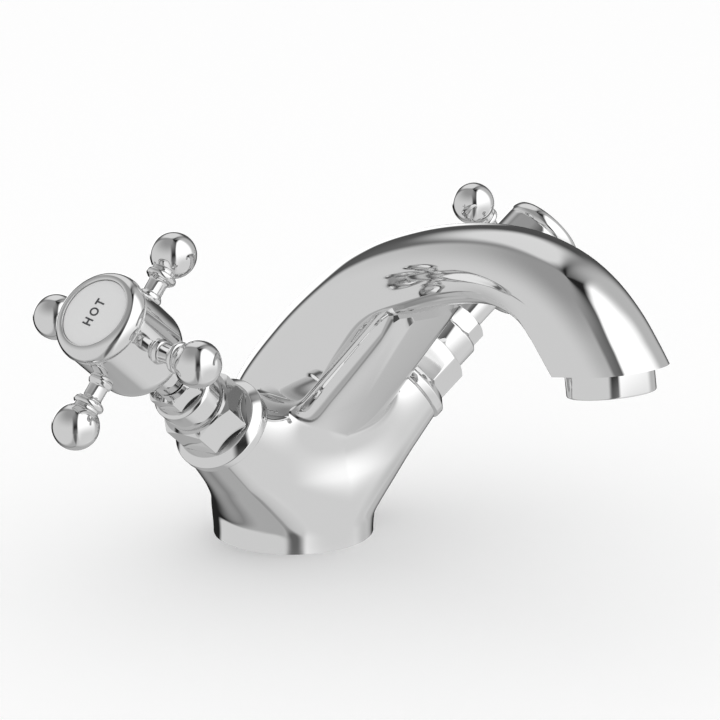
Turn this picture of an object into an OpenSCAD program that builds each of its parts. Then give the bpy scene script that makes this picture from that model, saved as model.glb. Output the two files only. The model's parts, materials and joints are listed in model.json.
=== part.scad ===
// Two-handle basin mixer tap with an arched spout and ball-ended cross handles.
// Millimetres, +Z up. The origin is the centre of the round base, on its underside.
// The spout points to -Y, the hot valve to -X and the cold valve to +X.

/* [Body] */
// Diameter of the round base
base_d = 50; // [46:0.5:56]
// Height of the straight foot before the body starts to flare
foot_h = 6; // [4:0.5:9]
// How far the foot has widened when the arms begin
foot_flare = 0.7; // [0.4:0.1:2]
// Height at which the base column is domed off inside the body
column_h = 34; // [30:1:40]
// Radius of the soft fillet where arms and column run together
casting_blend = 15; // [9:0.5:18]

/* [Spout] */
// Reach from the base centre forward to the outlet
spout_reach = 129.5; // [127:0.5:132]
// Height of the spout's centre line at the top of the arch
spout_rise = 96.3; // [94:0.1:99]
// Half the width of the spout
spout_half_w = 14.8; // [14.2:0.1:15.6]
// Distance from the centre line up to the rounded back of the spout
spout_crown = 13.5; // [12.5:0.1:14.5]
// Distance from the centre line down to the crisp lower edge
spout_edge_drop = 6; // [5:0.25:7]
// Distance from the centre line down to the middle of the underside
spout_belly = 11; // [10:0.25:12]
// Width of the bevel under the crisp edge
spout_bevel = 2.2; // [1:0.1:3]
// Lean of the outlet, forward from straight down
outlet_lean = 9.5; // [6:0.5:14]
// Height of the cut end of the spout, at the outlet axis
outlet_z = 76.7; // [75:0.1:79]
// Radius of the water passage inside the spout
waterway_r = 5; // [4:0.25:6]

/* [Valve arms] */
// Angle of the valve axes above level
valve_rise = 39.6; // [36:0.1:44]
// Angle by which the valve axes lean forward
valve_lean = 12.4; // [10:0.1:15]
// Where the valve axes meet in the body, forward of the base centre
valve_root_fwd = 3; // [0:0.5:5]
// Height at which the valve axes meet in the body
valve_root_h = 11.8; // [11:0.1:13]
// Length of an arm along its axis, to the face that the trim ring sits on
arm_len = 47.4; // [46:0.1:49]
// Diameter of an arm at its face
arm_d = 28; // [27:0.2:29]
// Growth of the arm's radius for each length towards the body
arm_taper = 0.16; // [0.1:0.01:0.22]
// Depth of the valve seat below the arm's face
seat_depth = 17; // [16:0.5:20]
// Bore of the valve seat and of the inlet below it
seat_bore_d = 9; // [8:0.25:10]

/* [Headwork] */
// Thread diameter of the headwork, G 1/2
headwork_thread_d = 20.8; // [20.4:0.1:21]
// Diameter of the headwork's skirt below the thread
skirt_d = 18.4; // [18:0.1:19]
// Length of the skirt
skirt_len = 7.1; // [6:0.1:8]
// Bore of the disc chamber in the skirt
disc_bore_d = 15.2; // [15:0.1:15.6]
// Width across the flats of the large hexagon
hex_af = 21; // [20:0.1:22]
// Height of the large hexagon
hex_h = 11.4; // [9:0.2:12]
// Diameter of the round collar above the hexagon
collar_d = 18.6; // [17:0.2:20]
// Height of the collar
collar_h = 8.3; // [7:0.1:9]
// Width across the flats of the gland nut
gland_af = 14.2; // [13:0.1:15]
// Height of the gland nut's hexagon
gland_h = 5.7; // [4.5:0.1:7]
// Length of the gland nut's threaded spigot
gland_spigot = 4.6; // [3:0.2:6]
// Diameter of the gland nut's thread
gland_thread_d = 12.8; // [12:0.2:13.4]
// Diameter of the trim ring under the hexagon
ring_d = 29.5; // [29:0.1:31]
// Height of the trim ring
ring_h = 5.4; // [5:0.2:7.5]
// Bevels and edge breaks on the nuts and rings
edge_break = 0.8; // [0.4:0.1:1.2]

/* [Spindle and ceramic discs] */
// Diameter of the spindle where the seals run
spindle_d = 9.8; // [9.4:0.1:10.2]
// Diameter of the spindle's stem above the seals
stem_d = 8; // [7.6:0.1:8.4]
// Number of spline teeth on the stem
spline_teeth = 20; // [16:2:24]
// Depth of a spline tooth
spline_depth = 0.5; // [0.3:0.05:0.6]
// Length of the spline
spline_len = 13; // [12:0.5:18]
// Thickness of one ceramic disc
disc_h = 2; // [1.6:0.1:2.4]
// Width of the spindle's driving tongue
tongue_w = 4; // [3:0.2:5]
// Height of the tongue
tongue_h = 1; // [0.7:0.1:1.2]
// Thickness of the rubber seat washer
seat_washer_h = 2.4; // [2:0.1:3]
// Thickness of the two spindle seals
seal_w = 1.9; // [1.6:0.1:2.2]

/* [Handles] */
// Diameter of the handle's barrel
hub_d = 26.8; // [26:0.2:27.2]
// Diameter of the slim neck under the barrel
neck_d = 10; // [9:0.2:11]
// Length of the neck
neck_len = 9.6; // [9:0.2:12]
// Rounding round the lower end of the barrel
hub_round = 8; // [6:0.2:8.5]
// Height of the barrel above the neck
hub_h = 25.4; // [24:0.2:27]
// Thickness of the barrel's wall round the cup in its top
hub_wall = 3.4; // [3.1:0.1:3.7]
// Depth of the cup
hub_cup_depth = 14; // [13.5:0.5:14.5]
// Thickness of the floor between the cup and the end of the spindle
hub_web = 3; // [2:0.5:4]
// Height of the spokes above the lower end of the barrel
spoke_h = 14.4; // [14.2:0.1:15]
// Distance from the valve axis to the centre of a ball
ball_reach = 27.8; // [27:0.1:30]
// Diameter of a ball
ball_d = 13.2; // [12.4:0.2:14]
// Diameter of the round bead beside the ball
bead_d = 9; // [8:0.2:10]
// Diameter of the spoke at its slimmest
spoke_d = 5.6; // [4.6:0.2:6]
// Diameter of the peg that holds a spoke in the barrel
peg_d = 4.8; // [4:0.2:5]
// Turn of the hot cross when the tap is closed
hot_turn = -6.4; // [-10:0.2:10]
// Turn of the cold cross when the tap is closed
cold_turn = 4; // [-10:0.2:10]
// Largest diameter of the bezel
bezel_d = 27.4; // [27:0.2:28.4]
// Height of the bezel
bezel_h = 5.2; // [4.8:0.1:6]
// Length of the bezel's spigot in the cup
bezel_spigot = 3; // [2:0.2:3.4]
// Thickness of the bezel's spigot
bezel_spigot_wall = 1.3; // [1:0.1:1.6]
// Diameter of the index disc
index_d = 20.4; // [20:0.2:21]
// Thickness of the index disc
index_h = 1.5; // [1.2:0.1:2]
// How far the index disc lies below the rim of the bezel
index_sink = 0.4; // [0.3:0.1:1]
// Thread diameter of the handle screw
screw_d = 4; // [3:0.5:5]
// Length of the screw under its head
screw_len = 12; // [10:0.5:14]
// Diameter of the screw's head
screw_head_d = 7.6; // [6.6:0.2:8.4]
// Height of the screw's head
screw_head_h = 2.6; // [2:0.1:3]

/* [Aerator] */
// Diameter of the aerator's visible ring
aerator_d = 23.8; // [23.4:0.1:25]
// Height of the visible ring
aerator_h = 6.5; // [5:0.25:8]
// Diameter of the aerator's thread, M22 x 1
aerator_thread_d = 22; // [21.5:0.25:22.5]
// Length of the aerator's thread
aerator_thread_len = 6; // [5:0.25:7]
// Wall of the aerator's housing
aerator_wall = 1.6; // [1.2:0.1:1.8]
// Thickness of the aerator's rubber washer
aerator_washer_h = 1.6; // [1.2:0.1:2]
// Holes in each ring of the flow insert
insert_holes = 12; // [8:1:14]
// Diameter of a hole in the flow insert
insert_hole_d = 1.9; // [1.2:0.1:2]

/* [Connections] */
// Thread diameter of the fixing stud's hole
stud_d = 8; // [6:1:10]
// Depth of the fixing stud's hole
stud_depth = 12; // [10:0.5:14]
// Distance of the stud's hole behind the base centre
stud_back = 13; // [12:0.5:15]
// Thread diameter of the inlet tails, M10 x 1
inlet_d = 10; // [9:0.5:11]
// Depth of the inlet threads
inlet_depth = 9; // [8:0.5:10]
// Distance of each inlet from the middle
inlet_side = 9; // [8:0.25:10]
// Middle diameter of the seal groove under the base
base_seal_d = 44; // [42.5:0.25:45]
// Width of the base seal
base_seal_w = 2.4; // [2:0.1:3]
// Thickness of the base seal
base_seal_h = 2; // [1.5:0.1:2.5]

/* [Fit] */
// Radial clearance of pieces that turn or slide in each other
running_gap = 0.05; // [0.03:0.01:0.08]
// Gap between end faces that move past each other
face_gap = 0.3; // [0.2:0.05:0.4]
// Gap between the two ceramic discs
disc_gap = 0.02; // [0.01:0.01:0.04]
// How far a cutting shape runs past the surface that it cuts
overrun = 1; // [0.5:0.1:2]

/* [Hidden] */
$fn = 64;

chrome = [0.80, 0.81, 0.83];
raw_brass = [0.78, 0.63, 0.34];
black_rubber = [0.10, 0.10, 0.11];
white_ceramic = [0.93, 0.92, 0.89];
grey_plastic = [0.72, 0.73, 0.74];
index_grey = [0.85, 0.85, 0.86];

// Sides of the tap: the hot valve leans to -X and the cold valve to +X
hot = -1;
cold = 1;

// Places along a valve axis, measured from where the two axes meet
seat_s = arm_len - seat_depth;
ring_s = arm_len;
hex_s = ring_s + ring_h;
collar_s = hex_s + hex_h;
gland_s = collar_s + collar_h;
neck_s = gland_s + gland_h + face_gap;
hub_s = neck_s + neck_len;
bezel_s = hub_s + hub_h;
bezel_top_s = bezel_s + bezel_h;
index_s = bezel_top_s - index_sink - index_h;
cup_s = bezel_s - hub_cup_depth;
hub_cup_d = hub_d - 2 * hub_wall;
washer_proud_share = 0.4;
skirt_s = seat_s + seat_washer_h * washer_proud_share;
thread_s = skirt_s + skirt_len;
fixed_disc_s = seat_s + seat_washer_h;
moving_disc_s = fixed_disc_s + disc_h + disc_gap;
spindle_s = moving_disc_s + disc_h;
chamber_top_s = thread_s + disc_h;
gland_floor_s = gland_s - gland_spigot;

headwork_r = headwork_thread_d / 2;
chamber_r = headwork_r + running_gap;
arm_r = arm_d / 2;
base_r = base_d / 2;
valve_root = [0, -valve_root_fwd, valve_root_h];

// Unit vector along a valve axis, away from the body
function valve_dir(side) = [
    side * cos(valve_rise) * cos(valve_lean),
    -cos(valve_rise) * sin(valve_lean),
    sin(valve_rise)
];

// Puts its children on a valve axis: their +Z points outwards, their +X down and outwards
module on_valve(side) {
    d = valve_dir(side);
    translate(valve_root)
        rotate([0, 0, atan2(d[1], d[0])])
            rotate([0, 90 - valve_rise, 0])
                children();
}

// The same, starting at the distance s along the axis
module at_station(side, s) {
    on_valve(side) translate([0, 0, s]) children();
}

// Round ring between two radii
module tube(h, outer_r, inner_r) {
    difference() {
        cylinder(h = h, r = outer_r);
        translate([0, 0, -overrun]) cylinder(h = h + 2 * overrun, r = inner_r);
    }
}

// Hexagonal nut with both rims turned to a shallow cone
module hexagon(af, h) {
    corner_r = af / 2 / cos(30);
    flat_r = af / 2;
    slope_h = (corner_r - flat_r) * tan(30);
    intersection() {
        cylinder(h = h, r = corner_r, $fn = 6);
        rotate_extrude() polygon([
            [0, 0], [flat_r, 0], [corner_r, slope_h], [corner_r, h - slope_h], [flat_r, h], [0, h]
        ]);
    }
}

// Smooth minimum of two distances, rounded off over the width k
function melt(a, b, k) = let (h = max(k - abs(a - b), 0) / k) min(a, b) - h * h * k / 4;

// Linear and smooth steps from 0 to 1
function ramp(x) = min(max(x, 0), 1);
function ease(x) = let (t = ramp(x)) t * t * (3 - 2 * t);

// Distance of p outside a tapered round arm that starts at foot and runs along dir
function cone_gap(p, foot, dir, foot_r, taper) =
    let (v = p - foot, s = v * dir, past = min(s, 0))
    sqrt(max(v * v - s * s, 0) + past * past) - (foot_r - taper * max(s, 0));

// Distance of p outside the foot and the domed column that stands on it
function foot_gap(p) =
    let (
        widen = foot_flare * ease(p[2] / foot_h / 2),
        over = max(p[2] - column_h + base_r, 0)
    )
    sqrt(p[0] * p[0] + p[1] * p[1] + over * over) - base_r - widen;

// The blunt front of the body, which climbs to the underside of the spout
front_foot_shares = [0.11, 0.42];
front_top_shares = [0.39, 0.82];
front_r_share = 0.56;
front_taper_share = 0.1;
front_foot = [0, -spout_reach * front_foot_shares[0], spout_rise * front_foot_shares[1]];
front_top = [0, -spout_reach * front_top_shares[0], spout_rise * front_top_shares[1]];
front_dir = (front_top - front_foot) / norm(front_top - front_foot);

// Share of the blend that joins the front to the rest, and the blend that is left at the foot
front_blend_share = 0.6;
foot_blend = 0.1;

// Distance of p outside the whole blended casting below the spout
function casting_gap(p) =
    let (
        k = casting_blend * ease((p[2] - overrun) / foot_h / 4) + foot_blend,
        arm_foot_r = arm_r + arm_taper * arm_len,
        hot_gap = cone_gap(p, valve_root, valve_dir(hot), arm_foot_r, arm_taper),
        cold_gap = cone_gap(p, valve_root, valve_dir(cold), arm_foot_r, arm_taper),
        arms = min(hot_gap, cold_gap),
        front = cone_gap(p, front_foot, front_dir, base_r * front_r_share, front_taper_share)
    )
    melt(melt(foot_gap(p), arms, k), front, k * front_blend_share);

// Distance along dir from a point inside the casting to its surface, found by halving
function surface_at(from, dir, near, far, steps) =
    steps == 0 ? from + dir * (near + far) / 2 :
    let (mid = (near + far) / 2)
    casting_gap(from + dir * mid) < 0
        ? surface_at(from, dir, mid, far, steps - 1)
        : surface_at(from, dir, near, mid, steps - 1);

// Closed skin through equal rings of points, with a fan over each end
module skin(rings) {
    n = len(rings[0]);
    last = len(rings) - 1;
    points = [for (r = rings) each r];
    bottom = [[for (i = [0 : n - 1]) i]];
    top = [[for (i = [0 : n - 1]) last * n + n - 1 - i]];
    sides = [
        for (j = [0 : last - 1], i = [0 : n - 1])
            let (a = j * n + i, b = j * n + (i + 1) % n)
            each [[a, b + n, b], [a, a + n, b + n]]
    ];
    polyhedron(points = points, faces = concat(bottom, sides, top));
}

cast_sides = 84;
level_rows = 6;
sweep_rows = 26;
lead_rows = 4;
halvings = 15;
top_climb = 89;
cast_far_share = 1.9;
cast_far = arm_len * cast_far_share;

// Level rings up the foot, then rings that sweep up from the middle of the casting
function cast_ring(from, climb) = [
    for (i = [0 : cast_sides - 1])
        let (a = 360 * i / cast_sides)
        surface_at(from, [cos(a) * cos(climb), sin(a) * cos(climb), sin(climb)], 0, cast_far, halvings)
];

module casting() {
    foot_rings = [for (j = [0 : level_rows]) cast_ring([0, 0, valve_root_h * j / level_rows], 0)];
    dome_rings = [
        for (j = [1 : sweep_rows])
            cast_ring([0, -valve_root_fwd * ramp(j / lead_rows), valve_root_h], top_climb * j / sweep_rows)
    ];
    skin(concat(foot_rings, dome_rings));
}

// The spout's centre line as shares of its reach and its height
route_shares = [
    [-0.077, 0.28], [-0.054, 0.436], [0.088, 0.648], [0.236, 0.814], [0.354, 0.902], [0.492, 0.962],
    [0.623, 0.993], [0.738, 1.00], [0.835, 0.979], [0.904, 0.939], [0.962, 0.879], [1.012, 0.807],
    [1.054, 0.737]
];
// Width, crown, edge drop and belly there, as shares of the spout's own
width_shares = [1.02, 1.02, 1.0, 0.99, 0.98, 0.97, 0.97, 0.97, 0.98, 0.99, 1.0, 1.0, 1.0];
crown_shares = [0.97, 0.95, 0.93, 0.90, 0.90, 0.925, 0.955, 0.96, 0.945, 0.93, 0.915, 0.89, 0.87];
drop_shares = [3.4, 3.3, 3.1, 2.2, 1.45, 1.13, 0.7, 0.45, 0.62, 1.0, 1.25, 1.3, 1.35];
belly_shares = [1.4, 1.4, 1.25, 1.15, 1.05, 0.95, 0.8, 0.75, 0.85, 1.0, 1.05, 1.05, 1.05];
route_steps = 3;
nudge_share = 0.02;

// Smooth curve through a list of values, at the place u counted in steps of the list
function through(list, u) =
    let (
        last = len(list) - 1,
        i = max(min(floor(u), last - 1), 0),
        t = u - i,
        a = list[max(i - 1, 0)], b = list[i], c = list[i + 1], d = list[min(i + 2, last)]
    )
    (b * 2 + (c - a) * t + (a * 2 - b * 5 + c * 4 - d) * t * t
        + (b * 3 - a - c * 3 + d) * t * t * t) / 2;

function route_at(u) = let (p = through(route_shares, u)) [0, -p[0] * spout_reach, p[1] * spout_rise];

// Underside of the section: shares of the way out to the edge and of the depth
belly_flat_shares = [0.36, 0.985];
belly_side_shares = [0.68, 0.5];
// Foot and top of the bevel, as shares of its width, in from the edge and down from it
bevel_foot_shares = [0.8, 0.75];
bevel_top_shares = [0.08, 0.1];
// Place of the crisp edge as a share of the half width
edge_share = 0.955;
// Fullness of the rounded back, where 2 gives an ellipse, and of the flank under its widest point
fullness = 2.15;
flank_fullness = 1.3;
// Angle round the section from the crisp edge up to the widest point, and the steps to the crown
flank_turn = 22;
crown_steps = 8;

// Half outline of the spout's section, from the middle of the underside round to the crown
function half_section(w, crown, drop, belly) =
    let (edge = w * edge_share, foot = drop + spout_bevel, low = max(belly, foot))
    concat(
        [
            [0, -low],
            [edge * belly_flat_shares[0], -low * belly_flat_shares[1]],
            [edge * belly_side_shares[0], -(low + foot) * belly_side_shares[1]],
            [edge - spout_bevel * bevel_foot_shares[0], -drop - spout_bevel * bevel_foot_shares[1]],
            [edge - spout_bevel * bevel_top_shares[0], -drop - spout_bevel * bevel_top_shares[1]]
        ],
        [
            for (i = [0 : crown_steps])
                let (a = -flank_turn + (90 + flank_turn) * i / crown_steps, power = 2 / fullness)
                [
                    w * pow(cos(a), power),
                    a < 0
                        ? -drop * pow(sin(-a) / sin(flank_turn), flank_fullness)
                        : crown * pow(sin(a), power)
                ]
        ]
    );

// The whole section in space, square to the centre line at u
function spout_ring(u) =
    let (
        p = route_at(u),
        ahead = route_at(u + nudge_share) - route_at(u - nudge_share),
        d = ahead / norm(ahead),
        up = [0, d[2], -d[1]],
        half = half_section(
            spout_half_w * through(width_shares, u), spout_crown * through(crown_shares, u),
            spout_edge_drop * through(drop_shares, u), spout_belly * through(belly_shares, u)
        ),
        n = len(half)
    )
    [
        for (i = [0 : n - 1]) p + [half[i][0], 0, 0] + up * half[i][1],
        for (i = [n - 2 : -1 : 1]) p + [-half[i][0], 0, 0] + up * half[i][1]
    ];

outlet = [0, -spout_reach, outlet_z];

// Puts its children at the outlet: their +Z points down and forward, out of the spout
module at_outlet() {
    translate(outlet) rotate([180 - outlet_lean, 0, 0]) children();
}

module spout() {
    last = (len(route_shares) - 1) * route_steps;
    difference() {
        skin([for (j = [0 : last]) spout_ring(j / route_steps)]);
        at_outlet() cylinder(h = spout_rise, r = spout_rise);
    }
}

// Straight round passage from one point to another, with a ball at its far end
module passage(from, to, r) {
    v = to - from;
    translate(from)
        rotate([0, acos(v[2] / norm(v)), atan2(v[1], v[0])])
            cylinder(h = norm(v), r = r);
    translate(to) sphere(r = r + running_gap);
}

mixing = [0, -valve_root_fwd * 3, column_h];
// Places along the route where the waterway turns, and how slim its two feeds are
waterway_stop_shares = [3.2, 4.6, 6.4, 8.4];
feed_share = 0.8;
socket_depth = aerator_thread_len + aerator_washer_h + face_gap;
socket_r = aerator_thread_d / 2 + running_gap;

module waterways() {
    stops = concat([mixing], [for (u = waterway_stop_shares) route_at(u)]);
    for (i = [0 : len(stops) - 2]) passage(stops[i], stops[i + 1], waterway_r);
    passage(outlet + [0, cos(90 - outlet_lean), cos(outlet_lean)] * socket_depth, stops[len(stops) - 1],
        waterway_r);
    for (side = [hot, cold]) {
        chamber_side = valve_root + valve_dir(side) * (seat_s + skirt_len / 2);
        passage(chamber_side, mixing, waterway_r * feed_share);
    }
}

module valve_bore() {
    translate([0, 0, seat_s]) cylinder(h = seat_depth + overrun, r = chamber_r);
    translate([0, 0, inlet_meet_s]) cylinder(h = seat_s - inlet_meet_s + overrun, d = seat_bore_d);
}

// Where a valve axis stands over its inlet
inlet_meet_s = inlet_side / (cos(valve_rise) * cos(valve_lean));
inlet_meet = valve_root + valve_dir(cold) * inlet_meet_s;

module inlets() {
    for (side = [hot, cold]) translate([side * inlet_side, inlet_meet[1], 0]) {
        translate([0, 0, -overrun]) cylinder(h = inlet_depth + overrun, d = inlet_d);
        cylinder(h = inlet_meet[2], d = seat_bore_d);
        translate([0, 0, inlet_meet[2]]) sphere(d = seat_bore_d + 2 * running_gap);
    }
}

module body() {
    color(chrome) difference() {
        union() {
            casting();
            spout();
        }
        for (side = [hot, cold]) on_valve(side) {
            translate([0, 0, arm_len]) cylinder(h = arm_len, d = ring_d + overrun);
            valve_bore();
        }
        waterways();
        inlets();
        at_outlet() translate([0, 0, -socket_depth]) cylinder(h = socket_depth + overrun, r = socket_r);
        translate([0, stud_back, -overrun]) cylinder(h = stud_depth + overrun, d = stud_d);
        translate([0, 0, -overrun])
            tube(base_seal_h + overrun, base_seal_d / 2 + base_seal_w / 2 + running_gap,
                base_seal_d / 2 - base_seal_w / 2 - running_gap);
    }
}

module base_seal() {
    color(black_rubber) tube(base_seal_h, (base_seal_d + base_seal_w) / 2, (base_seal_d - base_seal_w) / 2);
}

aerator_bore_r = aerator_thread_d / 2 - aerator_wall;

module aerator_housing() {
    color(chrome) at_outlet() difference() {
        union() {
            rotate_extrude() polygon([
                [0, 0], [aerator_d / 2 - edge_break / 2, 0], [aerator_d / 2, edge_break / 2],
                [aerator_d / 2, aerator_h - edge_break / 2],
                [aerator_d / 2 - edge_break / 2, aerator_h], [0, aerator_h]
            ]);
            translate([0, 0, -aerator_thread_len])
                cylinder(h = aerator_thread_len + overrun / 2, d = aerator_thread_d);
        }
        translate([0, 0, -aerator_thread_len - overrun])
            cylinder(h = aerator_thread_len + aerator_h + overrun - edge_break, r = aerator_bore_r);
        cylinder(h = aerator_h + overrun, r = aerator_bore_r - edge_break);
    }
}

insert_h = aerator_thread_len + aerator_h - edge_break * 2;
insert_row_shares = [0.72, 0.54, 0.36];
insert_hole_shares = [1, 0.82, 0.64];

module aerator_insert() {
    color(grey_plastic) at_outlet() translate([0, 0, aerator_h - edge_break - insert_h]) difference() {
        cylinder(h = insert_h, r = aerator_bore_r - running_gap);
        translate([0, 0, -overrun])
            cylinder(h = insert_h + overrun - disc_h, r = aerator_bore_r - aerator_wall);
        for (row = [0 : 2], i = [0 : insert_holes - 1])
            let (a = 360 * (i + row / 2) / insert_holes, r = aerator_bore_r * insert_row_shares[row])
            translate([r * cos(a), r * sin(a), insert_h - disc_h - overrun])
                cylinder(h = disc_h + 2 * overrun, d = insert_hole_d * insert_hole_shares[row], $fn = 16);
    }
}

module aerator_washer() {
    color(black_rubber) at_outlet() translate([0, 0, -aerator_thread_len - aerator_washer_h])
        tube(aerator_washer_h, aerator_thread_d / 2 - running_gap, waterway_r + aerator_wall);
}

module trim_ring() {
    color(chrome) difference() {
        rotate_extrude() polygon([
            [headwork_r, 0], [ring_d / 2 - edge_break, 0], [ring_d / 2, edge_break],
            [ring_d / 2, ring_h - edge_break / 4], [ring_d / 2 - edge_break / 4, ring_h], [headwork_r, ring_h]
        ]);
        translate([0, 0, -overrun]) cylinder(h = ring_h + 2 * overrun, r = chamber_r);
    }
}

window_w = disc_bore_d / 2;

module headwork() {
    color(chrome) difference() {
        union() {
            translate([0, 0, skirt_s]) cylinder(h = thread_s - skirt_s + overrun / 2, d = skirt_d);
            translate([0, 0, thread_s]) cylinder(h = hex_s - thread_s + overrun / 2, r = headwork_r);
            translate([0, 0, hex_s]) hexagon(hex_af, hex_h);
            translate([0, 0, collar_s]) rotate_extrude() polygon([
                [0, -overrun], [collar_d / 2 - overrun, -overrun], [collar_d / 2, 0],
                [collar_d / 2, collar_h - edge_break], [collar_d / 2 - edge_break, collar_h], [0, collar_h]
            ]);
        }
        translate([0, 0, skirt_s - overrun]) cylinder(h = chamber_top_s - skirt_s + overrun, d = disc_bore_d);
        translate([0, 0, skirt_s]) cylinder(h = gland_s - skirt_s + overrun, d = spindle_d + 2 * running_gap);
        translate([0, 0, gland_floor_s])
            cylinder(h = gland_spigot + overrun, d = gland_thread_d + 2 * running_gap);
        translate([-window_w / 2, -skirt_d, moving_disc_s + disc_h / 2])
            cube([window_w, 2 * skirt_d, thread_s - moving_disc_s - disc_h / 2]);
    }
}

module gland_nut() {
    color(chrome) difference() {
        union() {
            translate([0, 0, gland_s]) hexagon(gland_af, gland_h);
            translate([0, 0, gland_floor_s]) cylinder(h = gland_spigot + overrun / 2, d = gland_thread_d);
        }
        translate([0, 0, gland_floor_s - overrun])
            cylinder(h = gland_spigot + gland_h + 2 * overrun, d = stem_d + 2 * running_gap);
    }
}

module seat_washer() {
    color(black_rubber) translate([0, 0, seat_s])
        tube(seat_washer_h, disc_bore_d / 2 - running_gap, seat_bore_d / 2);
}

port_turn = 70;
port_shares = [0.15, 0.47];
port_inner_r = seat_bore_d * port_shares[0];
port_outer_r = seat_bore_d * port_shares[1];

// Two opposite ports of a ceramic disc, each most of a quarter turn
module ports(h) {
    for (turn = [0, 180]) rotate([0, 0, turn]) translate([0, 0, -overrun])
        rotate_extrude(angle = port_turn)
            translate([port_inner_r, 0]) square([port_outer_r - port_inner_r, h + 2 * overrun]);
}

module fixed_disc() {
    color(white_ceramic) translate([0, 0, fixed_disc_s]) difference() {
        cylinder(h = disc_h, r = disc_bore_d / 2 - running_gap);
        ports(disc_h);
    }
}

module moving_disc() {
    color(white_ceramic) translate([0, 0, moving_disc_s]) difference() {
        cylinder(h = disc_h, r = disc_bore_d / 2 - running_gap * 2);
        rotate([0, 0, 90]) ports(disc_h);
        translate([-tongue_w / 2 - running_gap, -disc_bore_d / 2, disc_h - tongue_h])
            cube([tongue_w + 2 * running_gap, disc_bore_d, tongue_h + overrun]);
    }
}

seal_shares = [0.28, 0.62];
groove_share = 0.7;
groove_depth = seal_w * groove_share;
tongue_share = 0.8;
spline_top_s = cup_s - hub_web;
spline_s = spline_top_s - spline_len;

function seal_s(i) = chamber_top_s + (gland_floor_s - chamber_top_s) * seal_shares[i];

// Toothed outline of the spline, grown all round by the gap
module spline_outline(gap) {
    polygon([
        for (i = [0 : 2 * spline_teeth - 1])
            let (a = 180 * i / spline_teeth, r = stem_d / 2 - running_gap - spline_depth * (i % 2) + gap)
            [r * cos(a), r * sin(a)]
    ]);
}

module spindle() {
    color(raw_brass) difference() {
        union() {
            translate([0, 0, spindle_s + running_gap])
                cylinder(h = chamber_top_s - spindle_s - 2 * running_gap, d = disc_bore_d - 4 * running_gap);
            translate([0, 0, chamber_top_s - overrun / 2])
                cylinder(h = gland_floor_s - chamber_top_s - face_gap / 3 + overrun / 2, d = spindle_d);
            translate([0, 0, gland_floor_s - overrun])
                cylinder(h = spline_s - gland_floor_s + overrun, d = stem_d);
            translate([0, 0, spline_s - overrun / 2])
                linear_extrude(spline_len + overrun / 2) spline_outline(0);
            translate([-tongue_w / 2, -disc_bore_d * tongue_share / 2, spindle_s - tongue_h + running_gap])
                cube([tongue_w, disc_bore_d * tongue_share, tongue_h + overrun / 2]);
        }
        for (i = [0, 1]) translate([0, 0, seal_s(i) - running_gap])
            tube(seal_w + 2 * running_gap, spindle_d, spindle_d / 2 - groove_depth);
        translate([0, 0, spline_top_s - screw_len])
            cylinder(h = screw_len + overrun, d = screw_d + 2 * running_gap);
    }
}

module spindle_seals() {
    color(black_rubber) for (i = [0, 1]) translate([0, 0, seal_s(i)])
        tube(seal_w, spindle_d / 2 + running_gap / 2, spindle_d / 2 - groove_depth + running_gap / 2);
}

module hub(turn) {
    color(chrome) difference() {
        union() {
            translate([0, 0, neck_s]) cylinder(h = neck_len + overrun, d = neck_d);
            translate([0, 0, hub_s]) rotate_extrude() polygon(concat(
                [[0, 0]],
                [
                    for (i = [0 : 10])
                        let (a = 90 * i / 10)
                        [hub_d / 2 - hub_round + hub_round * sin(a), hub_round * (1 - cos(a))]
                ],
                [[hub_d / 2, hub_h], [0, hub_h]]
            ));
        }
        translate([0, 0, neck_s - overrun])
            cylinder(h = spline_s - neck_s + overrun, d = stem_d + 2 * running_gap);
        translate([0, 0, spline_s - running_gap])
            linear_extrude(spline_len + running_gap) spline_outline(running_gap);
        cylinder(h = bezel_s, d = screw_d + face_gap);
        translate([0, 0, cup_s]) cylinder(h = hub_cup_depth + overrun, d = hub_cup_d);
        for (spin = [0 : 90 : 270]) rotate([0, 0, turn + spin]) translate([0, 0, hub_s + spoke_h])
            rotate([0, 90, 0]) cylinder(h = hub_d, d = peg_d + 2 * running_gap);
    }
}

// One turned spoke along +X: peg, flange, neck, bead, waist and ball
bead_w = bead_d / 4;
bead_x = ball_reach - ball_d / 2 - bead_w / 4;
waist_shares = [0.41, 0.75];
waist_r = bead_d * waist_shares[0];
waist_x = bead_x + bead_w * waist_shares[1];
flange_w = spoke_d / 4;
flange_x = hub_d / 2 + running_gap;
flange_share = 0.66;
flange_r = spoke_d * flange_share;

module spoke() {
    ball_r = ball_d / 2;
    bead_r = bead_d / 2;
    ball_start = asin(waist_r / ball_r);
    rotate([0, 90, 0]) translate([0, 0, hub_cup_d / 2 + running_gap])
        cylinder(h = hub_wall + flange_w, d = peg_d);
    difference() {
        rotate([0, 90, 0]) rotate_extrude() polygon(concat(
            [
                [0, flange_x - flange_w], [flange_r, flange_x - flange_w],
                [flange_r, flange_x + flange_w / 2],
                [spoke_d / 2, flange_x + flange_w], [spoke_d / 2, bead_x - bead_w]
            ],
            [
                for (i = [-4 : 4])
                    let (a = i * 20)
                    [bead_r - bead_w / 2 + bead_w / 2 * cos(a), bead_x + bead_w / 2 * sin(a)]
            ],
            [[waist_r, waist_x]],
            [
                for (i = [0 : 16])
                    let (a = ball_start + (180 - ball_start) * i / 16)
                    [ball_r * sin(a), ball_reach - ball_r * cos(a)]
            ]
        ));
        translate([0, 0, -hub_d / 2]) cylinder(h = hub_d, r = flange_x);
    }
}

module spokes(turn) {
    color(chrome) translate([0, 0, hub_s + spoke_h])
        for (spin = [0 : 90 : 270]) rotate([0, 0, turn + spin]) spoke();
}

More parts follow.
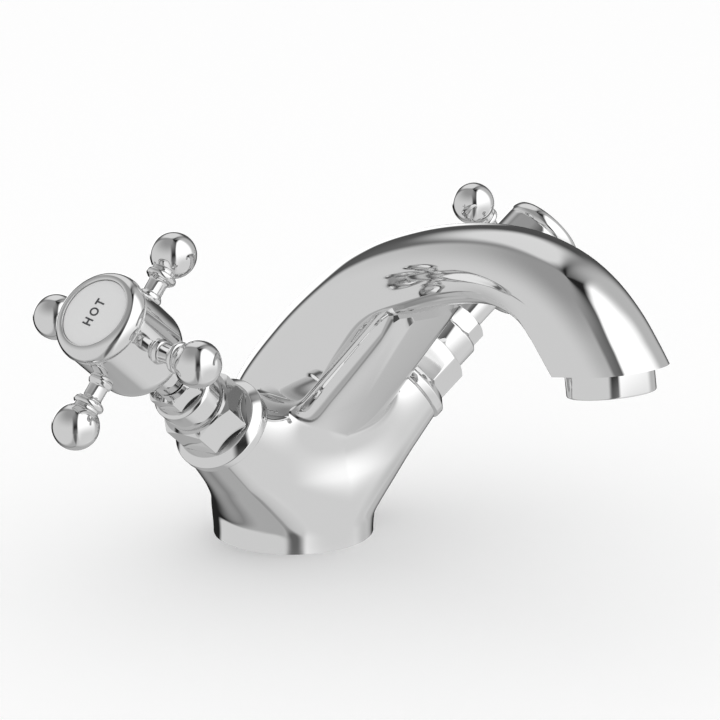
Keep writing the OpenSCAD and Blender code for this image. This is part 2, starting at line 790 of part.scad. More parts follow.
module bezel() {
    rim_r = index_d / 2 + running_gap;
    lip_r = rim_r + edge_break / 2;
    spigot_r = hub_cup_d / 2 - running_gap;
    ledge_r = spigot_r - bezel_spigot_wall;
    shoulder_share = 1.5;
    shoulder_h = edge_break * shoulder_share;
    color(chrome) translate([0, 0, bezel_s]) rotate_extrude() polygon(concat(
        [
            [spigot_r, -bezel_spigot], [spigot_r, 0],
            [hub_d / 2 - edge_break / 2, 0], [hub_d / 2 - edge_break / 4, edge_break / 4]
        ],
        [
            for (i = [0 : 10])
                let (a = 90 * i / 10)
                [
                    lip_r + (bezel_d / 2 - lip_r) * cos(a),
                    shoulder_h + (bezel_h - shoulder_h) * sin(a)
                ]
        ],
        [
            [rim_r, bezel_h - edge_break / 4], [rim_r, index_s - bezel_s],
            [ledge_r, index_s - bezel_s], [ledge_r, -bezel_spigot]
        ]
    ));
}

module index_disc() {
    color(index_grey) translate([0, 0, index_s]) cylinder(h = index_h, d = index_d);
}

recess_share = 0.64;
recess_w = screw_head_d * recess_share;

module handle_screw() {
    color(grey_plastic) difference() {
        union() {
            translate([0, 0, cup_s - screw_len]) cylinder(h = screw_len + overrun / 2, d = screw_d);
            translate([0, 0, cup_s]) rotate_extrude() polygon([
                [0, 0], [screw_head_d / 2, 0], [screw_head_d / 2, screw_head_h / 2],
                [recess_w / 2, screw_head_h], [0, screw_head_h]
            ]);
        }
        for (turn = [0, 90]) rotate([0, 0, turn])
            translate([-recess_w / 2, -screw_d / 8, cup_s + screw_head_h / 2])
                cube([recess_w, screw_d / 4, screw_head_h]);
    }
}

body();
base_seal();
aerator_housing();
aerator_insert();
aerator_washer();
at_station(hot, ring_s) trim_ring();  // hot_trim_ring
on_valve(hot) headwork();  // hot_headwork
on_valve(hot) gland_nut();  // hot_gland_nut
on_valve(hot) seat_washer();  // hot_seat_washer
on_valve(hot) fixed_disc();  // hot_fixed_disc
on_valve(hot) moving_disc();  // hot_moving_disc
on_valve(hot) spindle();  // hot_spindle
on_valve(hot) spindle_seals();  // hot_spindle_seals
on_valve(hot) hub(hot_turn);  // hot_hub
on_valve(hot) spokes(hot_turn);  // hot_spokes
on_valve(hot) bezel();  // hot_bezel
on_valve(hot) index_disc();  // hot_index_disc
on_valve(hot) handle_screw();  // hot_handle_screw
at_station(cold, ring_s) trim_ring();  // cold_trim_ring
on_valve(cold) headwork();  // cold_headwork
on_valve(cold) gland_nut();  // cold_gland_nut
on_valve(cold) seat_washer();  // cold_seat_washer
on_valve(cold) fixed_disc();  // cold_fixed_disc
on_valve(cold) moving_disc();  // cold_moving_disc
on_valve(cold) spindle();  // cold_spindle
on_valve(cold) spindle_seals();  // cold_spindle_seals
on_valve(cold) hub(cold_turn);  // cold_hub
on_valve(cold) spokes(cold_turn);  // cold_spokes
on_valve(cold) bezel();  // cold_bezel
on_valve(cold) index_disc();  // cold_index_disc
on_valve(cold) handle_screw();  // cold_handle_screw
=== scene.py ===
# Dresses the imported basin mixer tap: fine meshes for what shows, polished chrome and a white studio.
import json
import math

import bmesh
import bpy
import numpy as np
from mathutils import Matrix, Vector


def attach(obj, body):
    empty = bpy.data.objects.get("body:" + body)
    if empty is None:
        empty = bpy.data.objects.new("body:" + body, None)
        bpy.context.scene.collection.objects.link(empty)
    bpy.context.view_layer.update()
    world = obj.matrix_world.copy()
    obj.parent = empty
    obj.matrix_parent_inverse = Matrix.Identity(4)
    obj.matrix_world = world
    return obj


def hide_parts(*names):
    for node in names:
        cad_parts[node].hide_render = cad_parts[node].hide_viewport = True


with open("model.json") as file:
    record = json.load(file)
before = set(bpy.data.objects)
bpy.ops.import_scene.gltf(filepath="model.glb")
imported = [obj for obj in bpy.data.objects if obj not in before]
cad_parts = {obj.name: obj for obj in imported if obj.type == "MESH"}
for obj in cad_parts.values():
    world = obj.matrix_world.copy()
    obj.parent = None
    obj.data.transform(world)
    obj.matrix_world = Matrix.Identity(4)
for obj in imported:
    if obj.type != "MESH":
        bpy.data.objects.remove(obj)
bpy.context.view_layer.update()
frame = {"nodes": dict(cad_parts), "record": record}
nodes = frame["nodes"]
mm = 0.001
print("frame loaded:", len(nodes), "nodes")


# Colours and nodes

def linear(hexColour):
    parts = [int(hexColour[i:i + 2], 16) / 255 for i in (1, 3, 5)]
    return [c / 12.92 if c <= 0.04045 else ((c + 0.055) / 1.055) ** 2.4 for c in parts] + [1]


def addNode(tree, kind, settings=None, inputs=None, links=None):
    # settings are the node's own properties, inputs its values, links pairs of (socket, source socket)
    node = tree.nodes.new(kind)
    for name, value in (settings or {}).items():
        setattr(node, name, value)
    for name, value in (inputs or {}).items():
        node.inputs[name].default_value = value
    for name, source in (links or {}).items():
        tree.links.new(source, node.inputs[name])
    return node


def newMaterial(name, shader):
    material = bpy.data.materials.new(name)
    material.use_nodes = True
    principled = material.node_tree.nodes["Principled BSDF"]
    for socket, value in shader.items():
        principled.inputs[socket].default_value = value
    return material, material.node_tree, principled


def bumpFrom(tree, principled, height, distance, strength):
    bump = addNode(tree, "ShaderNodeBump", inputs={"Distance": distance * mm, "Strength": strength},
                   links={"Height": height})
    tree.links.new(bump.outputs["Normal"], principled.inputs["Normal"])


# Materials

chromeLook = {
    "colour": "#DCDCDC",
    "polishSpread": 6,        # mm between the soft waves that hand polishing leaves
    "polishDetail": 1,
    "polishDepth": 0.004,     # mm, too shallow to see as a shape, it only bends a reflection
    "smearSpread": 14,        # mm across a faint patch where the plate is less bright
    "smearDetail": 4,
    "smearShow": (0.35, 0.7),       # pattern values where a patch starts and is full
    "roughness": (0.025, 0.055),    # outside a patch and in it
}


def polishedChrome(look):
    # Chrome plate on hand-polished brass: a mirror with a slight wave and a hint of wiping marks
    material, tree, principled = newMaterial("polished chrome plate",
                                             {"Base Color": linear(look["colour"]), "Metallic": 1})
    place = addNode(tree, "ShaderNodeTexCoord").outputs["Object"]
    wave = addNode(tree, "ShaderNodeTexNoise", links={"Vector": place},
                   inputs={"Scale": 1 / (look["polishSpread"] * mm), "Detail": look["polishDetail"]})
    smear = addNode(tree, "ShaderNodeTexNoise", links={"Vector": place},
                    inputs={"Scale": 1 / (look["smearSpread"] * mm), "Detail": look["smearDetail"]})
    start, full = look["smearShow"]
    low, high = look["roughness"]
    rough = addNode(tree, "ShaderNodeMapRange", links={"Value": smear.outputs["Fac"]},
                    inputs={"From Min": start, "From Max": full, "To Min": low, "To Max": high})
    tree.links.new(rough.outputs["Result"], principled.inputs["Roughness"])
    bumpFrom(tree, principled, wave.outputs["Fac"], look["polishDepth"], 1)
    return material


brassLook = {
    "colour": "#C9A45C",
    "marks": 0.4,             # mm from tool mark to tool mark, drawn coarse enough to show
    "detail": 3,
    "depth": 0.02,            # mm
    "strength": 0.5,
    "roughness": (0.22, 0.4),
}


def turnedBrass(look):
    # Bare brass from a lathe, with fine tool marks that cloud the shine
    material, tree, principled = newMaterial("turned brass",
                                             {"Base Color": linear(look["colour"]), "Metallic": 1})
    place = addNode(tree, "ShaderNodeTexCoord").outputs["Object"]
    grain = addNode(tree, "ShaderNodeTexNoise", links={"Vector": place},
                    inputs={"Scale": 1 / (look["marks"] * mm), "Detail": look["detail"]})
    low, high = look["roughness"]
    rough = addNode(tree, "ShaderNodeMapRange", inputs={"To Min": low, "To Max": high},
                    links={"Value": grain.outputs["Fac"]})
    tree.links.new(rough.outputs["Result"], principled.inputs["Roughness"])
    bumpFrom(tree, principled, grain.outputs["Fac"], look["depth"], look["strength"])
    return material


def grained(name, look, colour, roughness):
    # A solid with a fine grain in its skin, for the rubber, the ceramic and the plastics
    material, tree, principled = newMaterial(name, {"Base Color": linear(colour), "Roughness": roughness,
                                                    "IOR": look["ior"]})
    place = addNode(tree, "ShaderNodeTexCoord").outputs["Object"]
    grain = addNode(tree, "ShaderNodeTexNoise", links={"Vector": place},
                    inputs={"Scale": 1 / (look["grain"] * mm), "Detail": look["detail"]})
    bumpFrom(tree, principled, grain.outputs["Fac"], look["depth"], look["strength"])
    return material


rubberLook = {
    "colour": "#1B1B1D",
    "roughness": 0.7,
    "ior": 1.52,
    "grain": 0.5,             # mm across the mould's sanded grain, drawn coarse enough to show
    "detail": 2,
    "depth": 0.03,            # mm
    "strength": 0.6,
}


def mouldedRubber(look):
    # Nitrile rubber from a mould: black, matt, with a fine sanded skin
    return grained("moulded nitrile rubber", look, look["colour"], look["roughness"])


ceramicLook = {
    "colour": "#F1EEE6",
    "roughness": 0.25,
    "ior": 1.76,
    "grain": 0.3,             # mm from pore to pore, drawn larger than real pores so that they show
    "detail": 2,
    "depth": 0.01,            # mm
    "strength": 0.5,
}


def groundCeramic(look):
    # Alumina lapped flat: nearly white, with a cool low gloss and small pores
    return grained("lapped alumina", look, look["colour"], look["roughness"])


plasticLook = {
    "ior": 1.48,
    "grain": 0.6,             # mm across the tool's sparked grain, drawn coarse enough to show
    "detail": 2,
    "depth": 0.01,            # mm
    "strength": 0.4,
}


def mouldedPlastic(look, name, colour, roughness):
    # Injection-moulded acetal, with the faint sparked texture of its tool
    return grained(name, look, colour, roughness)


steelLook = {
    "colour": "#B8BAB9",
    "cloud": 1.5,             # mm across a dull patch in the zinc
    "detail": 3,
    "roughness": (0.25, 0.45),
}


def platedSteel(look):
    # Zinc plated steel: a bright but cloudy grey
    material, tree, principled = newMaterial("zinc plated steel",
                                             {"Base Color": linear(look["colour"]), "Metallic": 1})
    place = addNode(tree, "ShaderNodeTexCoord").outputs["Object"]
    cloud = addNode(tree, "ShaderNodeTexNoise", links={"Vector": place},
                    inputs={"Scale": 1 / (look["cloud"] * mm), "Detail": look["detail"]})
    low, high = look["roughness"]
    rough = addNode(tree, "ShaderNodeMapRange", inputs={"To Min": low, "To Max": high},
                    links={"Value": cloud.outputs["Fac"]})
    tree.links.new(rough.outputs["Result"], principled.inputs["Roughness"])
    return material


chrome = polishedChrome(chromeLook)
finishes = {
    "polished_chrome": chrome,
    "raw_brass": turnedBrass(brassLook),
    "black_rubber": mouldedRubber(rubberLook),
    "white_ceramic": groundCeramic(ceramicLook),
    "flow_insert": mouldedPlastic(plasticLook, "grey acetal", "#C6C8CA", 0.45),
    "index_print": mouldedPlastic(plasticLook, "pale index plate", "#D6D6D6", 0.3),
    "zinc_screw": platedSteel(steelLook),
}
ink = mouldedPlastic(plasticLook, "dark grey printing ink", "#3C3D40", 0.5)
slotOf = {part["node"]: part["material_slot"] for part in frame["record"]["subparts"]}
for name, node in nodes.items():
    node.data.materials.clear()
    node.data.materials.append(finishes[slotOf[name]])
print("materials made")


# Mesh helpers

pieceWeld, seamWeld = 0.002, 0.001    # mm within which doubled vertices are merged
overrun = 1                           # mm by which a cutting or joining shape runs past the face it meets


def finishPiece(name, mesh, material, body, replaced=None, matrix=None, sharp=30):
    bmesh.ops.remove_doubles(mesh, verts=mesh.verts, dist=pieceWeld * mm)
    bmesh.ops.recalc_face_normals(mesh, faces=mesh.faces)
    if matrix is not None:
        bmesh.ops.transform(mesh, matrix=matrix, verts=mesh.verts)
    data = bpy.data.meshes.new(name)
    mesh.to_mesh(data)
    mesh.free()
    data.materials.append(material)
    data.polygons.foreach_set("use_smooth", [True] * len(data.polygons))
    data.set_sharp_from_angle(angle=math.radians(sharp))
    piece = bpy.data.objects.new(name, data)
    bpy.context.scene.collection.objects.link(piece)
    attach(piece, body)
    if replaced:
        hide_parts(replaced)
    return piece


def softened(corners, steps=4):
    # Outline of (across, along, radius) corners, each rounded off by a curve that starts radius before it
    points = []
    count = len(corners)
    for i, (x, y, radius) in enumerate(corners):
        here = Vector((x, y))
        if radius == 0 or i in (0, count - 1):
            points.append(here)
            continue
        before, after = Vector(corners[i - 1][:2]), Vector(corners[i + 1][:2])
        start = here + (before - here).normalized() * radius
        end = here + (after - here).normalized() * radius
        for k in range(steps + 1):
            t = k / steps
            points.append(start * (1 - t) ** 2 + here * 2 * t * (1 - t) + end * t ** 2)
    return points


def arc(centreAcross, centreAlong, radius, startDeg, endDeg, steps):
    angles = [math.radians(startDeg + (endDeg - startDeg) * i / steps) for i in range(steps + 1)]
    return [Vector((centreAcross + radius * math.cos(a), centreAlong + radius * math.sin(a)))
            for a in angles]


def turned(points, steps=128, closed=False):
    # Turns an outline in mm about Z
    mesh = bmesh.new()
    verts = [mesh.verts.new((p[0] * mm, 0, p[1] * mm)) for p in points]
    edges = [mesh.edges.new(pair) for pair in zip(verts, verts[1:])]
    if closed:
        edges.append(mesh.edges.new((verts[-1], verts[0])))
    bmesh.ops.spin(mesh, geom=verts + edges, cent=(0, 0, 0), axis=(0, 0, 1), angle=2 * math.pi,
                   steps=steps, use_merge=True)
    bmesh.ops.remove_doubles(mesh, verts=mesh.verts, dist=seamWeld * mm)
    return mesh


def cutWith(target, tool, operation):
    # Joins, cuts or crosses two bmeshes and returns a new one
    objects = []
    for mesh in (target, tool):
        bmesh.ops.recalc_face_normals(mesh, faces=mesh.faces)
        data = bpy.data.meshes.new("working")
        mesh.to_mesh(data)
        mesh.free()
        item = bpy.data.objects.new("working", data)
        bpy.context.scene.collection.objects.link(item)
        objects.append(item)
    modifier = objects[0].modifiers.new("cut", "BOOLEAN")
    modifier.operation = operation
    modifier.object = objects[1]
    modifier.solver = "MANIFOLD"
    bpy.context.view_layer.update()
    result = bmesh.new()
    result.from_object(objects[0], bpy.context.evaluated_depsgraph_get())
    for item in objects:
        data = item.data
        bpy.data.objects.remove(item)
        bpy.data.meshes.remove(data)
    return result


# Valve axes

valve = {"rise": 39.6, "lean": 12.4, "root": (0, -3, 11.8)}
sides = {"hot": -1, "cold": 1}


def valveDirection(side):
    rise, lean = math.radians(valve["rise"]), math.radians(valve["lean"])
    return Vector((side * math.cos(rise) * math.cos(lean), -math.cos(rise) * math.sin(lean), math.sin(rise)))


def onValve(side):
    along = valveDirection(side)
    return (Matrix.Translation(Vector(valve["root"]) * mm)
            @ Matrix.Rotation(math.atan2(along.y, along.x), 4, "Z")
            @ Matrix.Rotation(math.radians(90 - valve["rise"]), 4, "Y"))


# Body: the cast shell and the spout

casting = {
    "baseR": 25, "footH": 6, "columnH": 34,
    "flare": 0.7, "flareSpan": 2,                             # mm wider above, over so many foot heights
    "blend": 15, "footBlend": 0.1, "blendLow": 1, "blendSpan": 4,
    "armR": 14, "armLen": 47.4, "taper": 0.16,
    "frontFoot": (0, -15, 35.5), "frontTop": (0, -53.7, 77),  # web that carries the spout from below
    "frontR": 8, "frontTaper": 0.03, "frontSquash": 0.42, "frontBlend": 0.6,
    "rootFoot": (0, 8, 30), "rootTop": (0, -17, 66),          # rod behind it, under the spout's root
    "rootR": 14.25, "rootBlend": 0.45,
    "sides": 256, "footRows": 14, "domeRows": 96, "leadShare": 4 / 26, "topClimb": 89,
    "reach": 90, "halvings": 22,
}


def easeSteps(x):
    t = np.clip(x, 0, 1)
    return t * t * (3 - 2 * t)


def melt(a, b, width):
    # Joins two gaps, with a soft fillet where they are within width of each other
    h = np.maximum(width - np.abs(a - b), 0) / width
    return np.minimum(a, b) - h * h * width / 4


def coneGap(p, foot, along, footR, taper):
    # Gap to a long cone that starts with a ball at its foot and narrows by taper
    v = p - np.array(foot)
    s = v @ np.array(along)
    past = np.minimum(s, 0)
    return np.sqrt(np.maximum((v * v).sum(1) - s * s, 0) + past * past) - (footR - taper * np.maximum(s, 0))


def rodGap(p, start, end, radius):
    # Gap to a rod with ball ends
    a, b = np.array(start), np.array(end)
    share = np.clip((p - a) @ (b - a) / ((b - a) @ (b - a)), 0, 1)
    return np.linalg.norm(p - a - share[:, None] * (b - a), axis=1) - radius


def castingGap(p, c=casting):
    # How far each point lies outside the blended casting, in mm
    widen = c["flare"] * easeSteps(p[:, 2] / c["footH"] / c["flareSpan"])
    over = np.maximum(p[:, 2] - c["columnH"] + c["baseR"], 0)
    foot = np.sqrt(p[:, 0] ** 2 + p[:, 1] ** 2 + over ** 2) - c["baseR"] - widen
    width = c["blend"] * easeSteps((p[:, 2] - c["blendLow"]) / c["footH"] / c["blendSpan"]) + c["footBlend"]
    armFootR = c["armR"] + c["taper"] * c["armLen"]
    arms = np.minimum(*[coneGap(p, valve["root"], valveDirection(side), armFootR, c["taper"])
                        for side in sides.values()])
    climb = np.array(c["frontTop"]) - np.array(c["frontFoot"])
    squash = np.array([c["frontSquash"], 1, 1])
    front = coneGap(p * squash, c["frontFoot"], climb / np.linalg.norm(climb), c["frontR"], c["frontTaper"])
    root = rodGap(p, c["rootFoot"], c["rootTop"], c["rootR"])
    return melt(melt(melt(foot, arms, width), front, width * c["frontBlend"]), root, width * c["rootBlend"])


def castShell(c=casting):
    # A tube of rings, each point then pushed out from inside until it meets the casting's surface
    mesh = bmesh.new()
    ring = bmesh.ops.create_circle(mesh, segments=c["sides"], radius=c["baseR"] * mm, cap_ends=True)["verts"]
    rows, edges = [ring], list(mesh.edges)
    for _ in range(c["footRows"] + c["domeRows"]):
        grown = bmesh.ops.extrude_edge_only(mesh, edges=edges)["geom"]
        edges = [g for g in grown if isinstance(g, bmesh.types.BMEdge) and all(v in grown for v in g.verts)
                 and len(g.link_faces) == 1]
        rows.append([g for g in grown if isinstance(g, bmesh.types.BMVert)])
    bmesh.ops.contextual_create(mesh, geom=edges)
    rootH, rootFwd = valve["root"][2], -valve["root"][1]
    turn = np.arctan2([v.co.y for v in ring], [v.co.x for v in ring])
    starts, ways = [], []
    for j in range(len(rows)):
        up = max(j - c["footRows"], 0) / c["domeRows"]
        climb = math.radians(c["topClimb"]) * up
        lead = min(up / c["leadShare"], 1)
        start = (0, -rootFwd * lead, rootH if up else rootH * j / c["footRows"])
        starts += [start] * len(turn)
        ways.append(np.stack([np.cos(turn) * math.cos(climb), np.sin(turn) * math.cos(climb),
                              np.full(len(turn), math.sin(climb))], 1))
    starts, ways = np.array(starts, float), np.concatenate(ways)
    near, far = np.zeros(len(starts)), np.full(len(starts), float(c["reach"]))
    for _ in range(c["halvings"]):
        mid = (near + far) / 2
        inside = castingGap(starts + ways * mid[:, None]) < 0
        near, far = np.where(inside, mid, near), np.where(inside, far, mid)
    places = starts + ways * near[:, None]
    order = {round(a, 5): i for i, a in enumerate(turn)}
    for j, row in enumerate(rows):
        for v in row:
            i = order[round(math.atan2(v.co.y, v.co.x), 5)]
            v.co = Vector(places[j * len(turn) + i]) * mm
    return mesh


spout = {
    "reach": 129.5, "rise": 96.3, "halfW": 14.25, "crown": 13.5, "drop": 6, "belly": 11, "bevel": 2.2,
    "lean": 9.5, "outletZ": 76.7, "fullness": 2.15, "flankFullness": 1.1, "flankTurn": 22,
    "bellyShares": (0.36, 0.985), "haunchShare": 0.68,
    "rimShares": [(0.8, -0.75), (0.3, 1), (0.4, -0.37), (0.08, -0.1)],    # of the bevel, in and up
    "skirts": [0.12, 0.1, 0.08, 0.075, 0.07, 0.065, 0.06, 0.055, 0.05, 0.04, 0.03, 0.02, 0.015],
    "route": [(-0.077, 0.28), (-0.054, 0.436), (0.088, 0.648), (0.236, 0.814), (0.354, 0.902),
              (0.492, 0.962), (0.623, 0.993), (0.738, 1), (0.835, 0.979), (0.904, 0.939), (0.962, 0.879),
              (1.012, 0.807), (1.054, 0.737)],
    "widths": [1.02, 1.02, 1, 0.99, 0.98, 0.97, 0.97, 0.97, 0.98, 0.99, 1, 1, 1],
    "crowns": [0.97, 0.95, 0.93, 0.9, 0.9, 0.925, 0.955, 0.96, 0.945, 0.93, 0.915, 0.89, 0.87],
    "drops": [3.4, 3.3, 3.1, 2.2, 1.45, 1.13, 0.7, 0.45, 0.62, 1, 1.25, 1.3, 1.35],
    "bellies": [1.4, 1.4, 1.25, 1.15, 1.05, 0.95, 0.8, 0.75, 0.85, 1, 1.05, 1.05, 1.05],
    "stations": 10, "crownSteps": 30, "bellySteps": 10, "stride": 0.02,
}


def through(values, u):
    # Smooth curve through a list, at the place u counted in steps of the list
    last = len(values) - 1
    i = max(min(int(math.floor(u)), last - 1), 0)
    t = u - i
    a, b = np.array(values[max(i - 1, 0)]), np.array(values[i])
    c, d = np.array(values[i + 1]), np.array(values[min(i + 2, last)])
    bend = (a * 2 - b * 5 + c * 4 - d) * t * t
    return (b * 2 + (c - a) * t + bend + (b * 3 - a - c * 3 + d) * t ** 3) / 2


def routeAt(u, s=spout):
    y, z = through(s["route"], u)
    return Vector((0, -y * s["reach"], z * s["rise"]))


def halfSection(u, s=spout):
    # Half outline of the spout there, from the middle of the underside round to the crown
    width, crown = s["halfW"] * through(s["widths"], u), s["crown"] * through(s["crowns"], u)
    drop, belly = s["drop"] * through(s["drops"], u), s["belly"] * through(s["bellies"], u)
    skirt, bevel = through(s["skirts"], u), s["bevel"]
    edge = width * (1 + skirt)
    low = max(belly, drop + bevel)
    inner, flat = s["bellyShares"]
    rim = [(edge - bevel * inwards, -drop + bevel * upwards) for inwards, upwards in s["rimShares"]]
    under = [(-edge * inner, -low * flat), (0, -low), (edge * inner, -low * flat),
             (edge * s["haunchShare"], -(low + drop + bevel) / 2), rim[0], rim[1]]
    points = [Vector(through(under, 1 + 3 * i / s["bellySteps"])) for i in range(s["bellySteps"] + 1)]
    points += [Vector(rim[2]), Vector(rim[3])]
    for i in range(s["crownSteps"] + 1):
        a = math.radians(-s["flankTurn"] + (90 + s["flankTurn"]) * i / s["crownSteps"])
        power = 2 / s["fullness"]
        if a < 0:
            down = math.sin(-a) / math.sin(math.radians(s["flankTurn"]))
            points.append(Vector((width * (1 + skirt * down ** 2), -drop * down ** s["flankFullness"])))
        else:
            points.append(Vector((width * max(math.cos(a), 0) ** power, crown * math.sin(a) ** power)))
    return points


def spoutShell(s=spout):
    # A ring of vertices carried along the route and set to the section at each station
    last = (len(s["route"]) - 1) * s["stations"]
    mesh = bmesh.new()
    count = 2 * len(halfSection(0)) - 2
    ring = bmesh.ops.create_circle(mesh, segments=count, radius=mm, cap_ends=True)["verts"]
    turn = {v: i for i, v in enumerate(sorted(ring, key=lambda v: math.atan2(v.co.y, v.co.x)))}
    rows, edges = [sorted(ring, key=turn.get)], list(mesh.edges)
    for _ in range(last):
        grown = bmesh.ops.extrude_edge_only(mesh, edges=edges)["geom"]
        edges = [g for g in grown if isinstance(g, bmesh.types.BMEdge) and len(g.link_faces) == 1]
        rows.append(sorted([g for g in grown if isinstance(g, bmesh.types.BMVert)],
                           key=lambda v: math.atan2(v.co.y, v.co.x)))
    bmesh.ops.contextual_create(mesh, geom=edges)
    for j, row in enumerate(rows):
        u = j / s["stations"]
        ahead = (routeAt(u + s["stride"]) - routeAt(u - s["stride"])).normalized()
        up = Vector((0, ahead.z, -ahead.y))
        half = halfSection(u)
        outline = half + [Vector((-p.x, p.y)) for p in half[-2:0:-1]]
        for v, p in zip(row, outline):
            v.co = (routeAt(u) + Vector((p.x, 0, 0)) + up * p.y) * mm
    return mesh


def atOutlet(s=spout):
    # Placed at the outlet with +Z down and forward, out of the spout
    return (Matrix.Translation(Vector((0, -s["reach"], s["outletZ"])) * mm)
            @ Matrix.Rotation(math.radians(180 - s["lean"]), 4, "X"))


def plug(points, matrix, steps=96):
    # A turned cutting shape, put in place
    mesh = turned(points, steps)
    bmesh.ops.transform(mesh, matrix=matrix, verts=mesh.verts)
    return mesh


bodyCuts = {"valveBoreR": 10.45, "seatDepth": 17, "faceR": 15.25, "outletBoreR": 11.05, "outletDepth": 7.9,
            "studR": 4, "studDepth": 12, "studBack": 13, "inletR": 5, "inletDepth": 9, "inletSide": 9,
            "inletFwd": 4.98, "sealInner": 20.75, "sealOuter": 23.25, "sealDepth": 2, "outletClear": 60,
            "mountSides": 48}


def drill(radius, low, high):
    return [(0, low), (radius, low), (radius, high), (0, high)]


def makeBody(cuts=bodyCuts):
    mesh = cutWith(castShell(), spoutShell(), "UNION")
    armLen, few = casting["armLen"], cuts["mountSides"]
    stud = Matrix.Translation(Vector((0, cuts["studBack"], 0)) * mm)
    tools = []
    for side in sides.values():
        inlet = Matrix.Translation(Vector((side * cuts["inletSide"], -cuts["inletFwd"], 0)) * mm)
        tools += [
            plug(drill(cuts["faceR"], armLen, 2 * armLen), onValve(side)),
            plug(drill(cuts["valveBoreR"], armLen - cuts["seatDepth"], armLen + overrun), onValve(side)),
            plug(drill(cuts["inletR"], -overrun, cuts["inletDepth"]), inlet, few),
        ]
    tools += [
        plug(drill(cuts["outletClear"], 0, cuts["outletClear"]), atOutlet()),
        plug(drill(cuts["outletBoreR"], -cuts["outletDepth"], overrun), atOutlet()),
        plug(drill(cuts["studR"], -overrun, cuts["studDepth"]), stud, few),
        turned([(cuts["sealInner"], -overrun), (cuts["sealOuter"], -overrun),
                (cuts["sealOuter"], cuts["sealDepth"]), (cuts["sealInner"], cuts["sealDepth"])],
               closed=True),
    ]
    for tool in tools:
        mesh = cutWith(mesh, tool, "DIFFERENCE")
    return finishPiece("castBody", mesh, chrome, "tap", "body", sharp=32)


bodyPiece = makeBody()
print("body made:", len(bodyPiece.data.polygons), "faces")


# Aerator ring under the spout

aerator = {"r": 11.9, "h": 6.5, "threadR": 11, "threadLen": 6, "boreR": 9.4, "lip": 0.8, "edge": 0.45,
           "footEdge": 0.2, "lipEdge": 0.1}


def makeAerator(a=aerator):
    outline = softened([
        (a["boreR"], -a["threadLen"], 0), (a["threadR"], -a["threadLen"], a["footEdge"]),
        (a["threadR"], 0, 0), (a["r"], 0, a["footEdge"]), (a["r"], a["h"], a["edge"]),
        (a["boreR"] - a["lip"], a["h"], a["edge"] / 2),
        (a["boreR"] - a["lip"], a["h"] - a["lip"], a["lipEdge"]), (a["boreR"], a["h"] - a["lip"], 0)])
    return finishPiece("aeratorRing", turned(outline, closed=True), chrome, "tap",
                       "aerator_housing", atOutlet())


makeAerator()


# Valve pieces, in mm along and out from the valve axis

stations = {"ring": 47.4, "hexagon": 52.8, "collar": 64.2, "gland": 72.5, "neck": 78.5, "hub": 88.1,
            "bezel": 113.5, "top": 118.7}
trimRing = {"r": 14.75, "bore": 10.45, "bevel": 0.8, "coneW": 2.3, "coneH": 2.2, "footEdge": 0.15,
            "edge": 0.25, "coneEdge": 0.3}


def makeTrimRing(word, side, t=trimRing):
    low, high = stations["ring"], stations["hexagon"]
    outline = softened([
        (t["bore"], low, 0), (t["r"] - t["bevel"], low, t["footEdge"]),
        (t["r"], low + t["bevel"], t["edge"]), (t["r"], high - t["coneH"], t["coneEdge"]),
        (t["r"] - t["coneW"], high, t["edge"]), (t["bore"], high, 0)])
    finishPiece(word + "TrimRing", turned(outline, closed=True), chrome, "tap",
                word + "_trim_ring", onValve(side))


hexagon = {"bevelSteps": 3, "rimGap": 0.01}    # the gap keeps the turned barrel off the six corners


def hexBar(flats, low, high, bevel):
    mesh = bmesh.new()
    bmesh.ops.create_circle(mesh, segments=6, radius=flats / 2 / math.cos(math.pi / 6) * mm, cap_ends=True)
    bmesh.ops.translate(mesh, verts=mesh.verts, vec=(0, 0, low * mm))
    grown = bmesh.ops.extrude_face_region(mesh, geom=list(mesh.faces))["geom"]
    bmesh.ops.translate(mesh, verts=[g for g in grown if isinstance(g, bmesh.types.BMVert)],
                        vec=(0, 0, (high - low) * mm))
    upright = [e for e in mesh.edges if abs((e.verts[0].co - e.verts[1].co).z) > mm]
    bmesh.ops.bevel(mesh, geom=upright, offset=bevel * mm, segments=hexagon["bevelSteps"], profile=0.5,
                    affect="EDGES", material=-1)
    return mesh


def hexNut(flats, low, high, bevel):
    # A hexagon bar whose rims are turned down to a shallow cone
    corner = flats / 2 / math.cos(math.pi / 6)
    slope = (corner - flats / 2) * math.tan(math.pi / 6)
    rim = corner + hexagon["rimGap"]
    coned = turned(softened([(0, low, 0), (flats / 2, low, 0), (rim, low + slope, 0), (rim, high - slope, 0),
                             (flats / 2, high, 0), (0, high, 0)]))
    return cutWith(hexBar(flats, low - overrun, high + overrun, bevel), coned, "INTERSECT")


headwork = {"flats": 21, "collarR": 9.3, "skirtR": 9.2, "skirtLow": 31.36, "threadLow": 38.46,
            "threadR": 10.4, "boreR": 4.95, "chamberR": 7.6, "chamberTop": 40.46, "glandR": 6.45,
            "glandFloor": 67.9, "cornerBevel": 0.35, "edge": 0.3, "footIn": 0.6, "footUp": 0.4,
            "topBevel": 0.8, "topEdge": 0.25}


